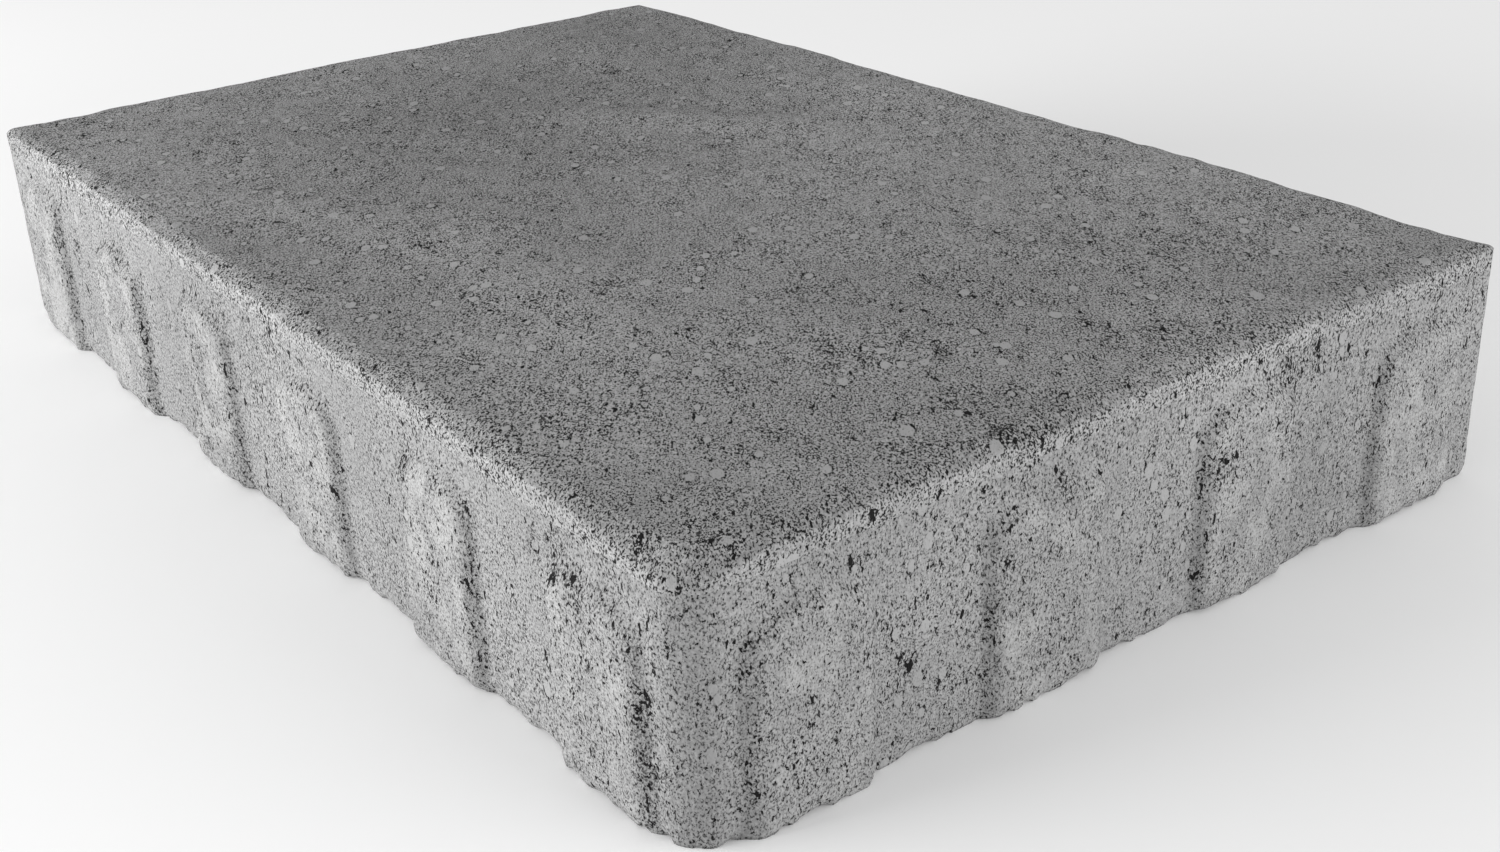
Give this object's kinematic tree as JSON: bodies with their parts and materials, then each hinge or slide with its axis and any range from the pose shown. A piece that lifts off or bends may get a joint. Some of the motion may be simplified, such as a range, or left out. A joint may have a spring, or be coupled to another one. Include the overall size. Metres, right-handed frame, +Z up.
{
  "type": "concrete paving slab",
  "caption": "Large rectangular pressed-concrete paving slab with cast-in vertical spacer ribs with arched heads on all four sides, lying on its flat bed face. Modelled as two courses.",
  "frame": {"origin": "middle of the flat bed face, on the ground", "axes": "+X along the long side, +Y along the short side, +Z up through the wearing face"},
  "size_m": [0.6, 0.4, 0.1],
  "materials": {
    "backing_concrete": "raw pressed concrete, coarse and pitted",
    "face_concrete": "raw pressed concrete, fine sand face, matt"
  },
  "bodies": {
    "root": {"backing_course": "backing_concrete", "face_course": "face_concrete"}
  },
  "joints": []
}
